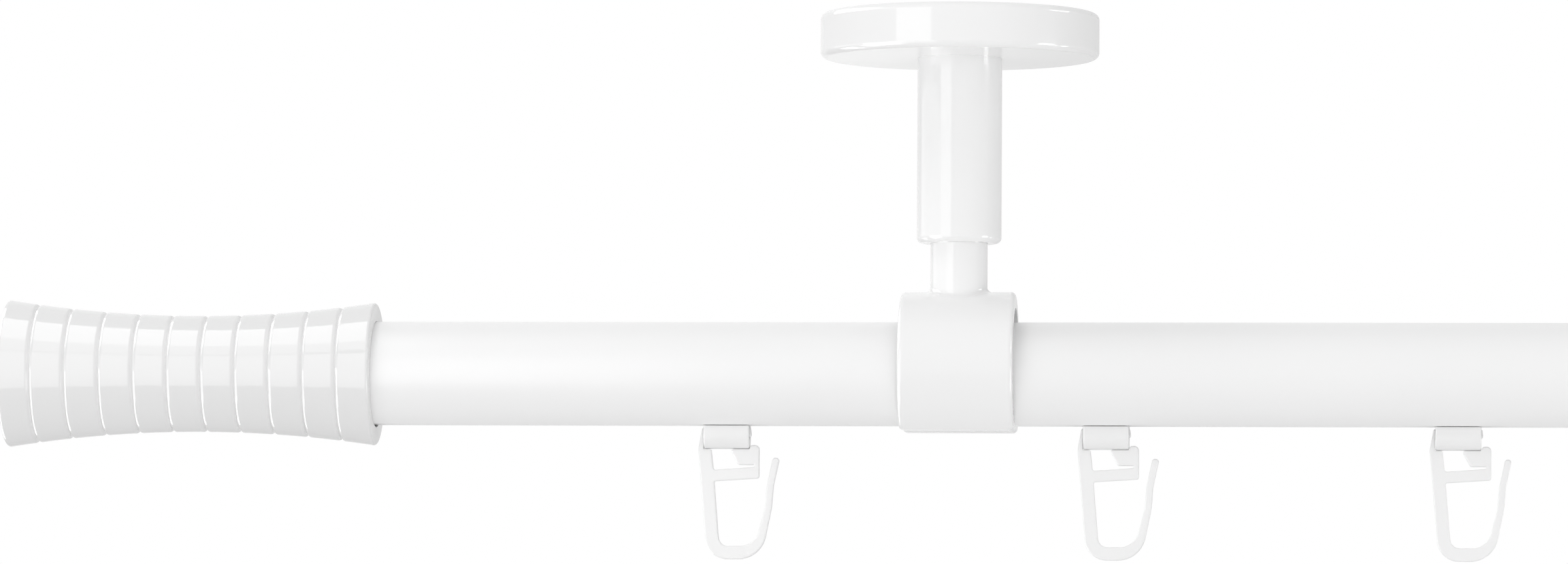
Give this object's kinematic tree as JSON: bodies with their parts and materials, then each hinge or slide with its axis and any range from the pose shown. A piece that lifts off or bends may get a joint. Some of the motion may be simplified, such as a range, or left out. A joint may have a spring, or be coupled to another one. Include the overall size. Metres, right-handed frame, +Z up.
{
  "type": "curtain rod with brackets",
  "caption": "Ceiling-mounted curtain rod with inner track: round rod, ringed finials, height-adjustable ring brackets and sliding gliders with clip-on hooks.",
  "frame": {"origin": "on the ceiling plane, midway between the two brackets", "axes": "+X along the rod to the right, +Y away from the room, towards the grub screws, +Z up to the ceiling"},
  "size_m": [0.9008, 0.0528, 0.1032],
  "materials": {
    "white_metal": "gloss white lacquer",
    "zinc_steel": "zinc plated",
    "glider_plastic": "smooth white plastic",
    "hook_plastic": "smooth milky plastic"
  },
  "bodies": {
    "ceiling_fixtures": {"ceiling_plate_left": "zinc_steel", "plate_bolt_left": "zinc_steel", "rosette_left": "white_metal", "sleeve_left": "white_metal", "sleeve_screw_left": "zinc_steel", "ceiling_plate_right": "zinc_steel", "plate_bolt_right": "zinc_steel", "rosette_right": "white_metal", "sleeve_right": "white_metal", "sleeve_screw_right": "zinc_steel"},
    "rod_assembly": {"rod": "white_metal", "rod_ring_left": "white_metal", "ring_screw_left": "zinc_steel", "finial_left": "white_metal", "finial_screw_left": "zinc_steel", "rod_ring_right": "white_metal", "ring_screw_right": "zinc_steel", "finial_right": "white_metal", "finial_screw_right": "zinc_steel"},
    "runner_01": {"runner_01": "glider_plastic"},
    "hook_01": {"hook_01": "hook_plastic"},
    "runner_02": {"runner_02": "glider_plastic"},
    "hook_02": {"hook_02": "hook_plastic"},
    "runner_03": {"runner_03": "glider_plastic"},
    "hook_03": {"hook_03": "hook_plastic"},
    "runner_04": {"runner_04": "glider_plastic"},
    "hook_04": {"hook_04": "hook_plastic"},
    "runner_05": {"runner_05": "glider_plastic"},
    "hook_05": {"hook_05": "hook_plastic"},
    "runner_06": {"runner_06": "glider_plastic"},
    "hook_06": {"hook_06": "hook_plastic"},
    "runner_07": {"runner_07": "glider_plastic"},
    "hook_07": {"hook_07": "hook_plastic"},
    "runner_08": {"runner_08": "glider_plastic"},
    "hook_08": {"hook_08": "hook_plastic"},
    "runner_09": {"runner_09": "glider_plastic"},
    "hook_09": {"hook_09": "hook_plastic"},
    "runner_10": {"runner_10": "glider_plastic"},
    "hook_10": {"hook_10": "hook_plastic"}
  },
  "joints": [
    {"name": "height_adjust", "type": "slide", "parent": "ceiling_fixtures", "child": "rod_assembly", "axis": [0, 0, 1], "range_m": [-0.01, 0.008]},
    {"name": "runner_01_slide", "type": "slide", "parent": "rod_assembly", "child": "runner_01", "axis": [1, 0, 0], "range_m": [-0.0609, 0.0224]},
    {"name": "hook_01_swing", "type": "hinge", "parent": "runner_01", "child": "hook_01", "pos_m": [-0.3132, 0, -0.0793], "axis": [1, 0, 0], "range_deg": [-60, 60]},
    {"name": "runner_02_slide", "type": "slide", "parent": "rod_assembly", "child": "runner_02", "axis": [1, 0, 0], "range_m": [-0.0112, 0.025]},
    {"name": "hook_02_swing", "type": "hinge", "parent": "runner_02", "child": "hook_02", "pos_m": [-0.2416, 0, -0.0793], "axis": [1, 0, 0], "range_deg": [-60, 60]},
    {"name": "runner_03_slide", "type": "slide", "parent": "rod_assembly", "child": "runner_03", "axis": [1, 0, 0], "range_m": [-0.025, 0.0268]},
    {"name": "hook_03_swing", "type": "hinge", "parent": "runner_03", "child": "hook_03", "pos_m": [-0.1756, 0, -0.0793], "axis": [1, 0, 0], "range_deg": [-60, 60]},
    {"name": "runner_04_slide", "type": "slide", "parent": "rod_assembly", "child": "runner_04", "axis": [1, 0, 0], "range_m": [-0.0268, 0.0268]},
    {"name": "hook_04_swing", "type": "hinge", "parent": "runner_04", "child": "hook_04", "pos_m": [-0.10607, 0, -0.0793], "axis": [1, 0, 0], "range_deg": [-60, 60]},
    {"name": "runner_05_slide", "type": "slide", "parent": "rod_assembly", "child": "runner_05", "axis": [1, 0, 0], "range_m": [-0.0268, 0.0268]},
    {"name": "hook_05_swing", "type": "hinge", "parent": "runner_05", "child": "hook_05", "pos_m": [-0.03653, 0, -0.0793], "axis": [1, 0, 0], "range_deg": [-60, 60]},
    {"name": "runner_06_slide", "type": "slide", "parent": "rod_assembly", "child": "runner_06", "axis": [1, 0, 0], "range_m": [-0.0268, 0.0268]},
    {"name": "hook_06_swing", "type": "hinge", "parent": "runner_06", "child": "hook_06", "pos_m": [0.033, 0, -0.0793], "axis": [1, 0, 0], "range_deg": [-60, 60]},
    {"name": "runner_07_slide", "type": "slide", "parent": "rod_assembly", "child": "runner_07", "axis": [1, 0, 0], "range_m": [-0.0268, 0.0268]},
    {"name": "hook_07_swing", "type": "hinge", "parent": "runner_07", "child": "hook_07", "pos_m": [0.10253, 0, -0.0793], "axis": [1, 0, 0], "range_deg": [-60, 60]},
    {"name": "runner_08_slide", "type": "slide", "parent": "rod_assembly", "child": "runner_08", "axis": [1, 0, 0], "range_m": [-0.0268, 0.0268]},
    {"name": "hook_08_swing", "type": "hinge", "parent": "runner_08", "child": "hook_08", "pos_m": [0.17207, 0, -0.0793], "axis": [1, 0, 0], "range_deg": [-60, 60]},
    {"name": "runner_09_slide", "type": "slide", "parent": "rod_assembly", "child": "runner_09", "axis": [1, 0, 0], "range_m": [-0.0268, 0.0066]},
    {"name": "hook_09_swing", "type": "hinge", "parent": "runner_09", "child": "hook_09", "pos_m": [0.2416, 0, -0.0793], "axis": [1, 0, 0], "range_deg": [-60, 60]},
    {"name": "runner_10_slide", "type": "slide", "parent": "rod_assembly", "child": "runner_10", "axis": [1, 0, 0], "range_m": [-0.027, 0.0563]},
    {"name": "hook_10_swing", "type": "hinge", "parent": "runner_10", "child": "hook_10", "pos_m": [0.3132, 0, -0.0793], "axis": [1, 0, 0], "range_deg": [-60, 60]}
  ]
}
